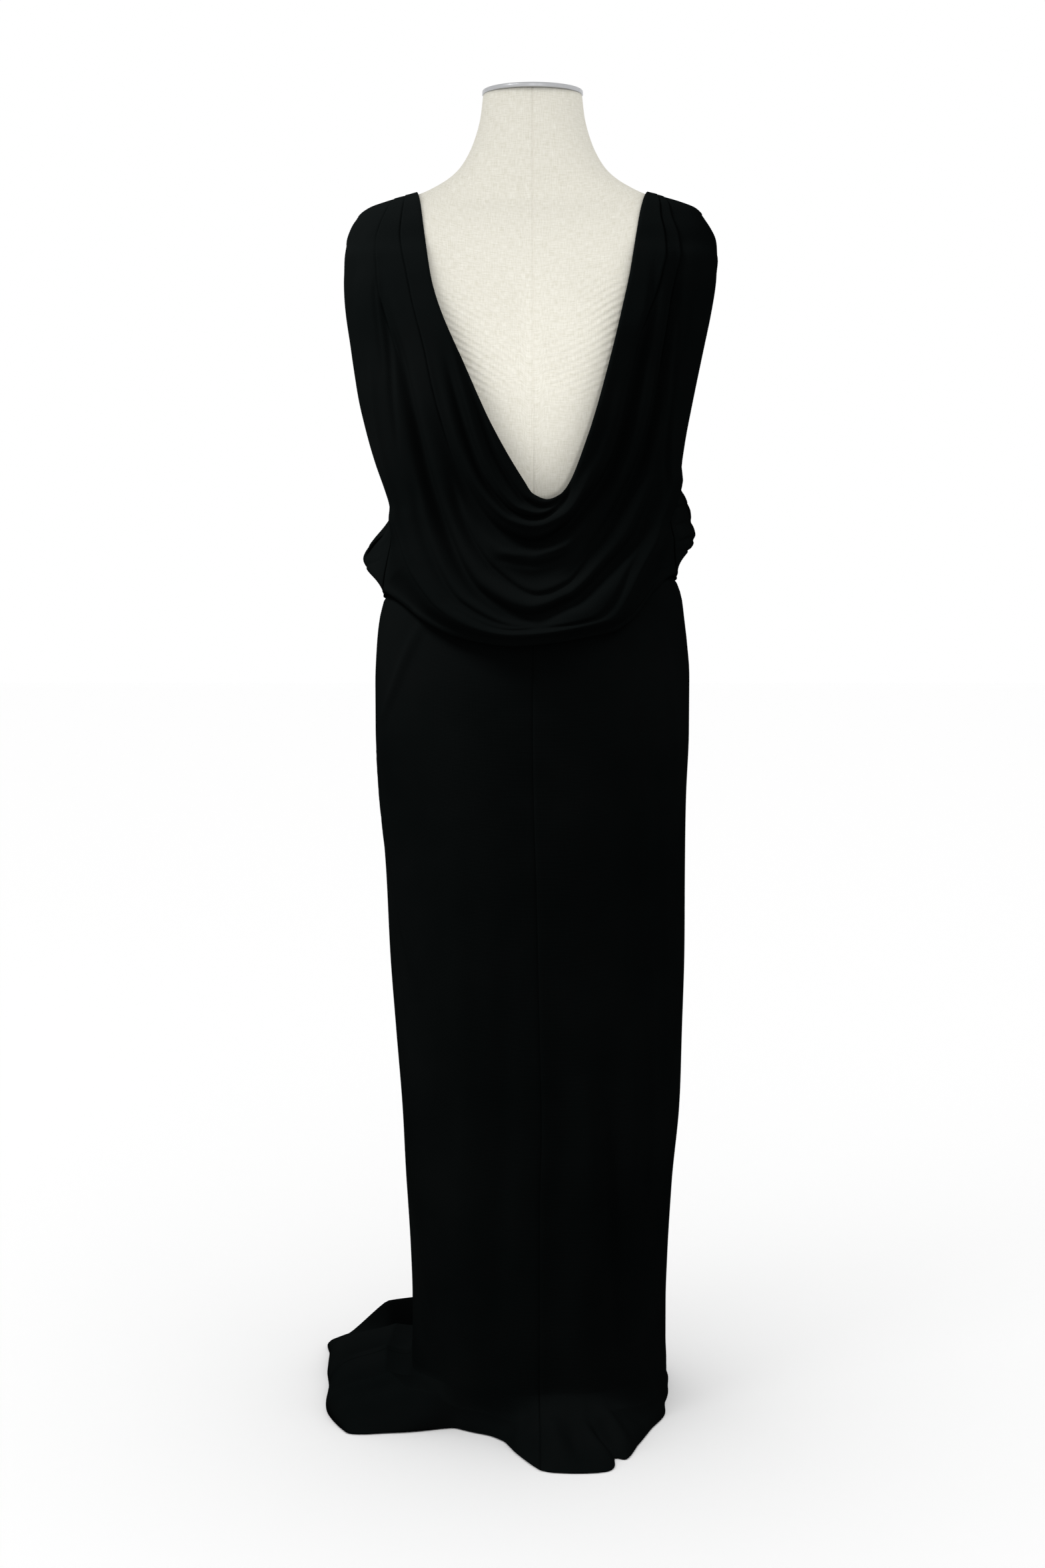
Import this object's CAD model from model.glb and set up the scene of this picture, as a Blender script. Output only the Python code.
"""A black floor-length dress with a deep draped back, standing on a limbless dress form.

Sizes are in millimetres and +Z is up. The draped back faces -Y, +X is to the right of someone
who looks at it, and the origin is the centre of the underside of the form's round base.
"""

from __future__ import annotations

import logging
import math
from dataclasses import dataclass, field
from enum import Enum
from typing import Any, Callable, Sequence

import bpy
import numpy as np
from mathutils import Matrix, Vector

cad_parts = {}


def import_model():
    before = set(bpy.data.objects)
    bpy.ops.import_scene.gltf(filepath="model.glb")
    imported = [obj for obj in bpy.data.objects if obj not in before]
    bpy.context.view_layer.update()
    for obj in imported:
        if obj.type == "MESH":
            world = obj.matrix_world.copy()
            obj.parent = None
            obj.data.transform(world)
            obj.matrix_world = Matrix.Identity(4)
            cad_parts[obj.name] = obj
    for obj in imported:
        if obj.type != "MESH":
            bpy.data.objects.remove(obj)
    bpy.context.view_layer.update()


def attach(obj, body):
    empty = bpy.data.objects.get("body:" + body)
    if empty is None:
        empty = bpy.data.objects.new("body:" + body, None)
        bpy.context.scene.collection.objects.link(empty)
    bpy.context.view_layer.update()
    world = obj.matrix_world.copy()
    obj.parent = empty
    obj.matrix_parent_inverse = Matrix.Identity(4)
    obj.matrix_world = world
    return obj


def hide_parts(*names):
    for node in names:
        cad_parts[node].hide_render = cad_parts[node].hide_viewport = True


LOG = logging.getLogger("dress")
MM = 0.001

# The gap between panels at a seam, how far the cloth's middle stands off the form where it lies
# on the shoulders and at the least, and how thick the cloth is
SEAM_GAP = 0.3
ON_FORM = 2.2
CLEAR_OF_FORM = 1.3
JERSEY_THICKNESS = 1.0

# The power of the rounded cross-sections, the power of a fold's bell, the shares of a fold's
# length over which it rises and falls, the share by which a fold on the floor runs past its
# ends, and a distance past which no edge curls
ROUNDNESS = 2.15
FOLD_POWER = 2.1
RUN_RISES = (-0.05, 0.14)
RUN_FALLS = (0.86, 1.05)
PAST_END = 0.2
FAR = 99

# Stations run along a bodice panel from the left shoulder seam to the right one, past the low
# point, and a side seam lies between the top and foot stations on each side
LAST_STATION = 10
LOW_STATION = 5
SIDE_TOP = 3
SIDE_FOOT = 4

# Heights above the floor, with how far the turned-under cloth ends below the waist seam
NECK_TOP_Z = 1464.0
DRAPE_TOP_Z = 1296.0
RIDGE_Z = (1290.0, 1380.0)
WAIST_Z = 955.0
UNDER_WAIST = 0.5
FORM_BOTTOM_Z = 700.0
HEM_BREAK_Z = 46.0

# Stand
BASE_RADIUS = 118.0
BASE_EDGE = 6.0
BOSS_RADIUS = 24.0
BOSS_TOP_Z = 40.0
POLE_RADIUS = 14.0
CAP_RADIUS = 55.0
CAP_HEIGHT = 5.0
TOUCH_GAP = 0.3

# How many radians a wave texture at scale 1 turns in one unit
WAVE_SPEED = 20


class Facing(Enum):
    """Which side of the dress a panel is on, as the sign of the way it faces along Y."""

    BACK = -1
    FRONT = 1


@dataclass(frozen=True)
class Curve:
    """A smooth curve through values at rising places, with no overshoot between them."""

    places: np.ndarray
    values: np.ndarray
    slopes: np.ndarray

    @classmethod
    def through(cls, places: Sequence, values: Sequence, level: tuple = ()) -> Curve:
        """Fits the curve. Inner slopes are the harmonic mean of the two sides' slopes.

        Args:
            places: Rising places.
            values: A value at each place, or an array of them.
            level: Places where the curve is level.

        Returns:
            The curve.
        """
        x, y = np.asarray(places, float), np.asarray(values, float)
        steps = np.diff(x).reshape((-1,) + (1,) * (y.ndim - 1))
        secants = np.diff(y, axis=0) / steps
        before, after = secants[:-1], secants[1:]
        same_way = before * after > 0
        total = np.where(same_way, before + after, 1.0)
        inner = np.where(same_way, 2 * before * after / total, 0.0)
        slopes = np.concatenate([secants[:1], inner, secants[-1:]])
        slopes[np.isin(x, level)] = 0.0
        return cls(x, y, slopes)

    def __call__(self, at: Any) -> np.ndarray:
        """The curve's values, by the cubic Hermite formula between neighbouring places.

        Args:
            at: A place or an array of places. Past an end, the end's value holds.

        Returns:
            A value for each place.
        """
        x = np.clip(np.asarray(at, float), self.places[0], self.places[-1])
        last = len(self.places) - 2
        i = np.clip(np.searchsorted(self.places, x, side="left") - 1, 0, last)
        extra = (1,) * (self.values.ndim - 1)
        step = (self.places[i + 1] - self.places[i]).reshape(x.shape + extra)
        t = (x - self.places[i]).reshape(x.shape + extra) / step
        t2, t3 = t * t, t * t * t
        return (
            (2 * t3 - 3 * t2 + 1) * self.values[i]
            + (t3 - 2 * t2 + t) * step * self.slopes[i]
            + (3 * t2 - 2 * t3) * self.values[i + 1]
            + (t3 - t2) * step * self.slopes[i + 1]
        )


@dataclass(frozen=True)
class Table:
    """A short table with named columns."""

    names: str
    rows: tuple

    def column(self, name: str) -> np.ndarray:
        """One named column."""
        return np.array([row[self.names.split().index(name)] for row in self.rows], float)

    def curve(self, place: str, name: str, level: tuple = ()) -> Curve:
        """The smooth curve of one column over another."""
        order = np.argsort(self.column(place), kind="stable")
        return Curve.through(self.column(place)[order], self.column(name)[order], level)

    def where(self, keep: np.ndarray) -> Table:
        """The rows that a mask keeps."""
        return Table(self.names, tuple(row for row, kept in zip(self.rows, keep) if kept))

    def records(self) -> list[dict[str, float]]:
        """The rows as dictionaries."""
        return [dict(zip(self.names.split(), row)) for row in self.rows]


# The dress form's cross-sections: half the width, and the depth behind and before the axis
FORM = Table("z half back front", (
    (1464, 54, 50, 54), (1440, 57, 51, 56), (1410, 66, 53, 59), (1386, 80, 54, 60),
    (1375, 92, 54, 59), (1366, 107, 53, 57), (1359, 122, 53, 56), (1353, 140, 54, 56),
    (1347, 160, 56, 58), (1341, 176, 60, 61), (1333, 186, 66, 65), (1321, 193, 74, 70),
    (1302, 198, 83, 77), (1280, 199, 91, 87), (1255, 196, 98, 98), (1225, 184, 104, 111),
    (1190, 167, 107, 122), (1150, 155, 105, 125), (1100, 146, 97, 111), (1040, 132, 86, 96),
    (960, 122, 78, 86), (900, 138, 94, 94), (850, 156, 108, 101), (790, 167, 115, 104),
    (740, 166, 112, 101), (710, 160, 106, 96), (700, 150, 97, 88),
))

# The smooth body that the cloth follows without its folds, below the shoulders
DRAPE = Table("z half back front", (
    (1288, 207, 94, 89), (1255, 211, 105, 104), (1200, 208, 115, 128), (1135, 200, 116, 134),
    (1063, 194, 112, 126), (1005, 193, 111, 123), (955, 195, 117, 127), (919, 192, 125, 132),
    (870, 190, 134, 138),
))

# Long lines of a bodice panel, from the left shoulder seam (station 0) round the low point
# (station 5) to the right shoulder seam (station 10): the open neck edge, the two shoulder
# pleats, the outermost fold, and the edge, which is the armhole, side seam or drape's bottom.
# Both panels are sewn to the same shoulder seams
LINE_NAMES = ("neck", "inner", "outer", "fold", "edge")
LINE_COLUMNS = (
    "station neckX neckZ innerX innerZ outerX outerZ foldX foldZ edgeX edgeZ edgeY"
)
LEFT_SHOULDER = (0, -126, 1361, -136, 1357, -147, 1354, -176, 1344, -186, 1337, 0)
RIGHT_SHOULDER = (10, 125, 1361, 131, 1358, 138, 1356, 174, 1345, 184, 1338, 0)
BACK_LINES = Table(LINE_COLUMNS, (
    LEFT_SHOULDER,
    (1, -106, 1253, -133, 1263, -165, 1257, -203, 1261, -199, 1261, -16),
    (2, -74, 1173, -113, 1167, -143, 1150, -185, 1133, -178, 1131, -28),
    (3, -38, 1095, -82, 1066, -118, 1044, -157, 1022, -159, 1004, -32),
    (4, -9, 1045, -46, 1012, -88, 962, -131, 952, -163, 918, -38),
    (4.4, 0, 1032, -27, 998, -60, 922, -98, 910, -118, 895, -98),
    (5, 15, 1026, 2, 991, -7, 899, -22, 884, -20, 876, -130),
    (5.6, 28, 1031, 32, 1000, 38, 920, 76, 898, 104, 894, -104),
    (6, 36, 1040, 50, 1015, 70, 962, 112, 938, 162, 918, -38),
    (7, 57, 1093, 84, 1067, 107, 1034, 146, 1004, 158, 1004, -32),
    (8, 77.5, 1164, 110, 1169, 140, 1138, 176, 1134, 168, 1135, -28),
    (9, 100, 1253, 135, 1266, 157, 1257, 199, 1261, 195, 1262, -16),
    RIGHT_SHOULDER,
))
FRONT_LINES = Table(LINE_COLUMNS, (
    LEFT_SHOULDER,
    (1, -112, 1322, -133, 1296, -162, 1270, -203, 1262, -199, 1261, 16),
    (2, -92, 1296, -114, 1230, -145, 1172, -188, 1150, -180, 1140, 22),
    (3, -64, 1278, -84, 1184, -122, 1090, -158, 1022, -159, 1004, -32),
    (4, -33, 1267, -46, 1158, -92, 1024, -186, 957, -163, 918, -38),
    (4.25, -25, 1266, -34, 1154, -68, 1012, -174, 938, -165, 914, -2),
    (4.6, -14, 1264, -18, 1150, -40, 1003, -134, 914, -147, 901, 72),
    (5, 0, 1263, 0, 1149, 0, 998, 2, 890, 0, 876, 134),
    (5.4, 14, 1264, 18, 1150, 40, 1003, 134, 914, 147, 901, 72),
    (5.75, 25, 1266, 34, 1154, 66, 1012, 155, 943, 165, 914, -2),
    (6, 33, 1267, 46, 1158, 88, 1024, 182, 984, 162, 918, -38),
    (7, 64, 1278, 84, 1184, 118, 1090, 164, 1058, 158, 1004, -32),
    (8, 92, 1296, 112, 1230, 142, 1172, 182, 1150, 172, 1140, 22),
    (9, 112, 1322, 131, 1296, 158, 1270, 200, 1262, 195, 1262, 16),
    RIGHT_SHOULDER,
))

# Troughs and ridges of the hanging cloth. Each runs between two stations through six evenly
# spaced places, with its depth at its start, middle and end, negative for a ridge, and how far
# it spreads above and below
FOLD_COLUMNS = "start end p0 p1 p2 p3 p4 p5 deep0 deep1 deep2 above below"
BACK_FOLDS = Table(FOLD_COLUMNS, (
    (1.7, 5.9, 0.01, 0.10, 0.23, 0.26, 0.23, 0.14, 2.5, 5, 3, 3, 4.5),
    (1.7, 5.7, 0.11, 0.27, 0.44, 0.52, 0.48, 0.42, -1.5, -3, -2, 3, 2),
    (1.9, 6.2, 0.36, 0.54, 0.68, 0.70, 0.49, 0.06, 3, 6, 3, 3, 4.5),
    (1.9, 6.6, 0.59, 0.73, 0.84, 0.87, 0.77, 0.5, -2, -5, -3, 6, 3.5),
    (2.3, 9.0, 0.94, 1.08, 1.16, 1.02, 1.04, 0.83, 5, 15, 8, 6, 11),
    (3.0, 7.3, 1.3, 1.42, 1.5, 1.5, 1.45, 1.4, 2, 9, 3, 15, 22),
    (3.1, 6.4, 1.28, 1.44, 1.54, 1.66, 1.78, 1.9, 3, 6, 3, 4, 7),
    (4.4, 5.75, 1.35, 1.31, 1.28, 1.28, 1.31, 1.34, -1.5, -3, -1.5, 4, 3),
    (4.4, 5.7, 1.43, 1.39, 1.37, 1.38, 1.41, 1.45, 1, 3, 1, 3, 4),
    (0.9, 7.9, 1.9, 1.77, 1.86, 1.95, 2.45, 2.3, 8, 15, 5, 8, 10),
    (5.4, 9.3, 1.64, 1.77, 1.85, 1.91, 1.88, 1.93, 4, 14, 8, 9, 11),
    (8.1, 9.0, 2.34, 2.35, 2.37, 2.38, 2.38, 2.38, 1, 2.5, 1, 4, 4),
    (7.2, 8.7, 2.6, 2.5, 2.41, 2.33, 2.26, 2.21, 2, 4.5, 2, 3, 4),
    (1.1, 2.6, 1.96, 2.03, 2.1, 2.18, 2.26, 2.33, 2, 4, 2, 4, 4),
    (0.95, 1.9, 2.1, 2.13, 2.16, 2.2, 2.24, 2.28, 1, 2.2, 1, 2.5, 2.5),
    (1.6, 4.6, 2.44, 2.6, 2.74, 2.87, 2.95, 3.0, -1.5, -4, -2, 6, 2.4),
    (5.7, 8.2, 3.0, 2.94, 2.84, 2.72, 2.5, 2.3, -1.5, -3, -1.5, 5, 2.5),
    (6.1, 7.2, 0.84, 0.83, 0.81, 0.80, 0.75, 0.70, 1, 2.5, 1, 3, 3),
    (6.3, 7.9, 0.3, 0.36, 0.4, 0.4, 0.38, 0.36, 0.6, 1.4, 0.6, 5, 5),
    (2.8, 5.6, 2.2, 2.28, 2.36, 2.42, 2.46, 2.5, 2, 6, 2, 6, 8),
    (4.2, 6.6, 2.62, 2.72, 2.78, 2.78, 2.72, 2.66, 1, 3, 1, 4, 5),
    (0.4, 2.0, 2.5, 2.55, 2.6, 2.66, 2.7, 2.74, 0.8, 1.6, 0.8, 7, 7),
))
FRONT_FOLDS = Table(FOLD_COLUMNS, (
    (1.6, 8.2, 0.35, 0.45, 0.5, 0.5, 0.46, 0.36, 1.5, 4, 1.5, 7, 10),
    (3.0, 6.2, 0.22, 0.25, 0.26, 0.26, 0.25, 0.2, -1, -2, -1, 5, 5),
    (1.2, 8.8, 0.9, 0.98, 1.04, 1.02, 0.98, 0.92, 3, 7, 3, 8, 14),
    (2.6, 5.9, 1.28, 1.34, 1.38, 1.4, 1.36, 1.3, 1.5, 3.5, 1.5, 7, 9),
    (1.5, 8.6, 1.6, 1.58, 1.62, 1.66, 1.6, 1.52, 3, 8, 3, 9, 14),
    (4.3, 8.2, 1.84, 1.88, 1.88, 1.84, 1.8, 1.78, 1.5, 3.5, 1.5, 7, 9),
    (1.0, 9.0, 2.02, 2.0, 2.12, 2.16, 2.02, 2.0, 4, 9, 4, 9, 14),
    (2.2, 5.4, 2.34, 2.38, 2.42, 2.44, 2.4, 2.36, 1.5, 3.5, 1.5, 8, 9),
    (1.8, 8.2, 2.62, 2.66, 2.76, 2.78, 2.68, 2.6, 4, 9, 4, 8, 12),
    (5.2, 7.9, 2.5, 2.44, 2.4, 2.36, 2.32, 2.3, 1, 3, 1, 7, 8),
    (3.3, 4.25, 2.3, 2.5, 2.75, 3.0, 3.15, 3.2, 1.5, 3, 1.5, 4, 5),
    (3.5, 4.4, 2.0, 2.2, 2.4, 2.6, 2.75, 2.9, 1, 2.5, 1, 4, 5),
    (5.72, 6.4, 3.05, 3.2, 3.38, 3.56, 3.72, 3.86, 2, 5, 3, 4, 4.5),
    (5.92, 6.6, 3.0, 3.18, 3.36, 3.55, 3.72, 3.88, 3, 6, 3, 4, 4.5),
    (6.12, 6.85, 2.95, 3.14, 3.33, 3.52, 3.7, 3.86, 3, 6, 3, 4, 4.5),
    (6.38, 7.1, 2.95, 3.12, 3.3, 3.5, 3.68, 3.84, 2, 5, 2, 4, 4.5),
    (6.62, 7.4, 2.9, 3.08, 3.26, 3.46, 3.64, 3.8, 2, 4, 2, 4, 4.5),
    (3.1, 3.9, 3.7, 3.6, 3.48, 3.34, 3.2, 3.1, 1.5, 4, 1.5, 4, 5),
    (3.5, 4.1, 3.8, 3.7, 3.55, 3.4, 3.25, 3.15, 1.5, 3.5, 1.5, 4, 5),
))

# Pleats sewn into the shoulders, where the cloth on the neck's side steps down at a line
PLEAT_COLUMNS = "start end p0 p1 p2 p3 p4 p5 step"
BACK_PLEATS = Table(PLEAT_COLUMNS, (
    (0, 2.9, 1.0, 1.12, 0.92, 0.85, 0.91, 0.97, 1.8),
    (0, 1.7, 1.84, 1.99, 2.05, 2.01, 1.96, 1.9, 2.4),
    (8.3, 10, 0.83, 0.94, 1.08, 1.22, 1.2, 0.95, 2.0),
    (8.2, 10, 1.93, 1.94, 1.93, 2.02, 2.04, 1.8, 2.4),
))
FRONT_PLEATS = Table(PLEAT_COLUMNS, (
    (0, 1.9, 1.0, 1.02, 1.0, 0.96, 0.94, 0.92, 1.8),
    (0, 1.7, 1.84, 1.99, 2.02, 2.0, 1.98, 1.96, 2.2),
    (8.2, 10, 0.94, 0.97, 1.0, 1.04, 1.06, 0.95, 1.8),
    (8.3, 10, 1.96, 1.98, 2.0, 2.02, 2.0, 1.8, 2.2),
))

# The hanging skirt's cross-sections; middle is the centre's place along X
SKIRT = Table("z half back front middle", (
    (955, 125, 81, 89, 0), (940, 131, 87, 92, 0), (925, 146, 94, 96, 0), (912, 157, 101, 99, 0),
    (900, 165, 106, 102, 0), (885, 170, 111, 105, 0), (858, 173.5, 117, 108, 0),
    (820, 175.5, 121, 110, 0), (770, 175.5, 121, 111, 0), (700, 172, 119, 110, 1),
    (610, 168, 117, 109, 4), (520, 165.5, 116, 109, 6), (430, 160.5, 115, 109, 8),
    (340, 155, 116, 111, 10), (250, 148, 118, 114, 8), (170, 143, 121, 118, 8),
    (110, 141, 124, 121, 8), (70, 141, 126, 124, 8), (46, 142, 128, 126, 8),
))

# Long soft folds of the skirt: angle from the back's middle towards +X, the height where one
# starts, how far it stands out at the floor, and its half-width in degrees
SKIRT_FOLDS = Table("angle top swell width", (
    (24, 520, 7, 11), (55, 860, 9, 12), (84, 700, 5, 12), (112, 760, 9, 13), (141, 640, 10, 13),
    (171, 720, 9, 13), (202, 600, 10, 13), (233, 740, 9, 13), (262, 800, 6, 12),
    (292, 840, 9, 12), (322, 560, 6, 12), (352, 430, 6, 11),
))

# Creases of the skirt, the same way: each runs down between two heights through four evenly
# spaced angles, with its depth at its middle and its spread on both sides
SKIRT_CREASES = Table("top bottom a0 a1 a2 a3 depth before after", (
    (900, 780, 307, 301, 294, 284, -4, 7, 5),
    (750, 470, 280, 286, 293, 302, -5, 6, 3.5),
    (720, 430, 273, 279, 285, 290, 4, 7, 5),
    (530, 110, 286, 288, 295, 304, -4.5, 5, 3.5),
    (440, 80, 279, 283, 289, 297, 4, 6, 5),
    (790, 120, 52, 54.5, 57, 51, -4, 5, 3.5),
    (760, 300, 60, 62, 63, 62, 3.5, 7, 8),
    (450, 150, 45, 46, 45, 44, -6, 12, 12),
    (400, 140, 22, 25, 27, 29, -6, 14, 8),
    (420, 80, 34, 35.5, 36.5, 38, 5, 8, 9),
    (890, 690, 62, 66, 70, 75, -1.8, 7, 6),
    (560, 80, 8, 10, 11, 12, 2, 14, 12),
    (600, 90, 344, 342, 340, 338, 2.2, 13, 13),
    (700, 160, 322, 320, 322, 324, -1.8, 14, 12),
    (880, 560, 98, 103, 108, 112, -4.1, 8, 7),
    (760, 120, 99, 100, 98, 97, 4.1, 8, 8),
    (640, 90, 126, 127, 126, 124, 4.8, 11, 10),
    (880, 430, 140, 138, 141, 145, -3.7, 8, 7),
    (820, 260, 158, 155, 154, 156, 4.1, 10, 10),
    (520, 80, 168, 170, 171, 169, -3.7, 9, 8),
    (700, 90, 186, 187, 188, 186, 4.4, 11, 10),
    (880, 500, 205, 203, 200, 196, -3.7, 8, 7),
    (660, 120, 216, 218, 220, 219, 4.4, 10, 10),
    (860, 300, 234, 238, 240, 243, -4.1, 8, 7),
    (560, 80, 246, 248, 247, 246, 4.4, 9, 9),
    (880, 640, 256, 260, 266, 272, -3.4, 7, 6),
))

# Where the hem lies on the floor: reach from the skirt's centre, and how high it bunches up
HEM = Table("angle reach loft", (
    (0, 232, 8), (3, 238, 9), (16, 246, 12), (23, 229, 14), (34, 194, 15), (48, 170, 11),
    (60, 162, 8), (76, 149, 5), (92, 150, 5), (108, 160, 7), (132, 182, 14), (160, 200, 12),
    (188, 214, 16), (206, 246, 24), (220, 282, 34), (230, 298, 30), (238, 300, 26),
    (246, 276, 26), (256, 258, 30), (270, 244, 34), (289, 250, 34), (301, 250, 32),
    (309, 206, 26), (322, 149, 12), (336, 148, 8), (345, 158, 7), (353, 193, 8), (360, 232, 8),
))

# The left lobe of the hem lies in three rolls, one behind another: height against Y
LOBE_ROLLS = Table("y height", (
    (-135, 0), (-122, 14), (-98, 29), (-68, 37), (-57, 24), (-50, 20), (-20, 34), (12, 40),
    (24, 26), (31, 22), (58, 36), (78, 40), (98, 34), (130, 19), (165, 9), (205, 5),
))

# Ridges of the cloth on the floor, negative for troughs, each along a straight line
FLOOR_FOLDS = Table("x y to_x to_y height width", (
    (-124, -60, -54, -130, 8, 8), (-108, -96, -36, -124, -5, 8), (56, -140, 94, -206, -7, 6),
    (70, -128, 116, -196, 7, 9), (18, -140, 30, -230, 6, 10), (42, -140, 52, -232, -5, 9),
    (-8, -138, -24, -192, 6, 9), (132, -62, 158, -96, 5, 7), (-150, -90, -226, -82, -5, 8),
    (-60, 146, -82, 206, 8, 10), (-22, 148, -16, 208, -6, 9), (38, 146, 52, 202, 8, 10),
    (88, 118, 118, 152, 6, 8), (130, 58, 160, 82, 5, 8), (-108, 126, -146, 190, 7, 10),
    (8, 150, 14, 212, 5, 8), (-84, 140, -112, 204, -6, 8),
))

# A notch in the hem at the right. Then the edge that is turned up at the left: the angles over
# which it rises and falls, its height, and the share of the floor's cloth where it starts
NOTCH_ANGLE = 21.8
NOTCH_DEPTH = 17.0
NOTCH_WIDTH = 1.7
FLAP = ((206.0, 213.0), (226.5, 232.0))
FLAP_HEIGHT = 46.0
FLAP_START = 0.72

# The roll at the drape's bottom: its size, and how many degrees it turns
ROLL_INWARD = 4.5
ROLL_DOWN = 5.5
ROLL_TURN = 150

# The waist is drawn up at both sides: how far, how near the side, at which height, how widely
RISE_RIGHT = 32.0
RISE_LEFT = 12.0
RISE_FROM = (85.0, 150.0)
RISE_Z = 909.0
RISE_ABOVE = 48.0
RISE_BELOW = 70.0

# How far the cloth's sides are taken in at each height, negative where they are let out
TAKEN_IN_FROM = (105.0, 160.0)
TAKEN_IN = Table("z left right", (
    (1375, 0, 0), (1350, -2, -3), (1330, -4, 0), (1309, -5.5, -3), (1289, -3, -3),
    (1268, 0, 1.5), (1228, 1.5, 6), (1187, 3, 8), (1147, 3, 8.5), (1105, 4.5, 9),
    (1064, 6, 7), (1043, 7.5, 1.5), (1022, 8.5, 2), (1002, 4, 5.5), (982, 4, 3),
    (961, 1.5, 4), (941, -1, 3), (921, -2, 3), (901, 0, 3), (870, 0, 1.5), (840, 0, 0),
))

# How far the turned-under cloth stands off the skirt, at the waist seam and at the least below it
LYING = 2.9
HANGING = 4.5


def smoothstep(x: np.ndarray, low: float, high: float) -> np.ndarray:
    """A soft step from 0 at low to 1 at high: three squares less two cubes."""
    t = np.clip((x - low) / (high - low), 0.0, 1.0)
    return t * t * (3 - 2 * t)


def mix(a: Any, b: Any, share: Any) -> np.ndarray:
    """The blend of two values, a at share 0 and b at share 1."""
    return a + (b - a) * share


def hump(away: np.ndarray, width: Any, power: float = 2) -> np.ndarray:
    """A soft hump about 0: e to the minus power of the distance in widths."""
    return np.exp(-((away / width) ** power))


def bell(away: np.ndarray, before: float, after: float) -> np.ndarray:
    """A soft hump about 0 that spreads differently on its two sides."""
    return np.exp(-np.abs(away / np.where(away < 0, before, after)) ** FOLD_POWER)


def turn_from(start: Any, degrees: np.ndarray) -> np.ndarray:
    """The turn from one angle to others, between -180 and 180 degrees."""
    return (degrees - start + 540) % 360 - 180


def reach_of(angle: np.ndarray, half: np.ndarray, depth: np.ndarray) -> np.ndarray:
    """Distance from the axis to a rounded section: the superellipse solved along an angle.

    Args:
        angle: The angle from -Y towards +X, in radians.
        half: Half the section's width.
        depth: The section's depth on the side that the angle points to.

    Returns:
        The distance.
    """
    across = np.abs(np.sin(angle)) / half
    along = np.abs(np.cos(angle)) / depth
    return (across**ROUNDNESS + along**ROUNDNESS) ** (-1 / ROUNDNESS)


def depth_at(x: np.ndarray, half: np.ndarray, depth: np.ndarray) -> np.ndarray:
    """Depth of a rounded section at a place along its width."""
    share = np.minimum(np.abs(x) / half, 1.0)
    return depth * (1 - share**ROUNDNESS) ** (1 / ROUNDNESS)


def face_of(x: np.ndarray, y: np.ndarray, half: np.ndarray, depth: np.ndarray) -> np.ndarray:
    """The level direction that a rounded section faces: the gradient of its formula.

    Args:
        x: Places along the section's width.
        y: Places along its depth.
        half: Half the section's width.
        depth: The section's depth.

    Returns:
        Directions of length 1.
    """
    steep_x = np.sign(x) * (np.abs(x) / half) ** (ROUNDNESS - 1) / half
    steep_y = np.sign(y) * (np.abs(y) / depth) ** (ROUNDNESS - 1) / depth
    face = np.stack([steep_x, steep_y, np.zeros_like(steep_x)], -1)
    return face / np.linalg.norm(face, axis=-1, keepdims=True)


def on_ring(angle: np.ndarray, reach: np.ndarray, z: np.ndarray, middle: Any = 0.0) -> np.ndarray:
    """Points on a ring: angle 0 is at -Y and 90 degrees at +X."""
    angle, reach, z, middle = np.broadcast_arrays(angle, reach, z, middle)
    return np.stack([middle + reach * np.sin(angle), -reach * np.cos(angle), z], -1)


@dataclass(frozen=True)
class Body:
    """A rounded body: half its width, and its depth on each side, at any height."""

    half: Curve
    back: Curve
    front: Curve

    @classmethod
    def of(cls, table: Table) -> Body:
        """The body that a table of cross-sections describes."""
        return cls(*(table.curve("z", name) for name in ("half", "back", "front")))

    def reach(self, angle: np.ndarray, z: np.ndarray) -> np.ndarray:
        """Distance from the axis to the surface, at an angle and a height."""
        depth = np.where(np.cos(angle) > 0, self.back(z), self.front(z))
        return reach_of(angle, self.half(z), depth)


def outside(points: np.ndarray, body: Body, gap: Any) -> np.ndarray:
    """Moves points out from the axis, where need be, until they clear a body.

    Args:
        points: Points in millimetres.
        body: The body that they clear.
        gap: How far they clear it.

    Returns:
        The points, each at the larger of its own reach and the body's with the gap.
    """
    angle = np.arctan2(points[..., 0], -points[..., 1])
    least = body.reach(angle, points[..., 2]) + gap
    near = np.hypot(points[..., 0], points[..., 1]) < least
    return np.where(near[..., None], on_ring(angle, least, points[..., 2]), points)


def grown(table: Table, by: float) -> Table:
    """Moves a body's cross-sections outwards, square to the line between their neighbours.

    Args:
        table: The cross-sections, from the top down.
        by: How far they move.

    Returns:
        The cross-sections of the larger body.
    """
    z, half = table.column("z"), table.column("half")
    row = np.arange(len(z))
    above, below = np.maximum(row - 1, 0), np.minimum(row + 1, len(z) - 1)
    normal = np.stack([z[above] - z[below], half[below] - half[above]], -1)
    normal /= np.linalg.norm(normal, axis=1, keepdims=True)
    sizes = (z + by * normal[:, 1], half + by * normal[:, 0],
             table.column("back") + by, table.column("front") + by)
    return Table(table.names, tuple(map(tuple, np.stack(sizes, -1))))


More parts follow.
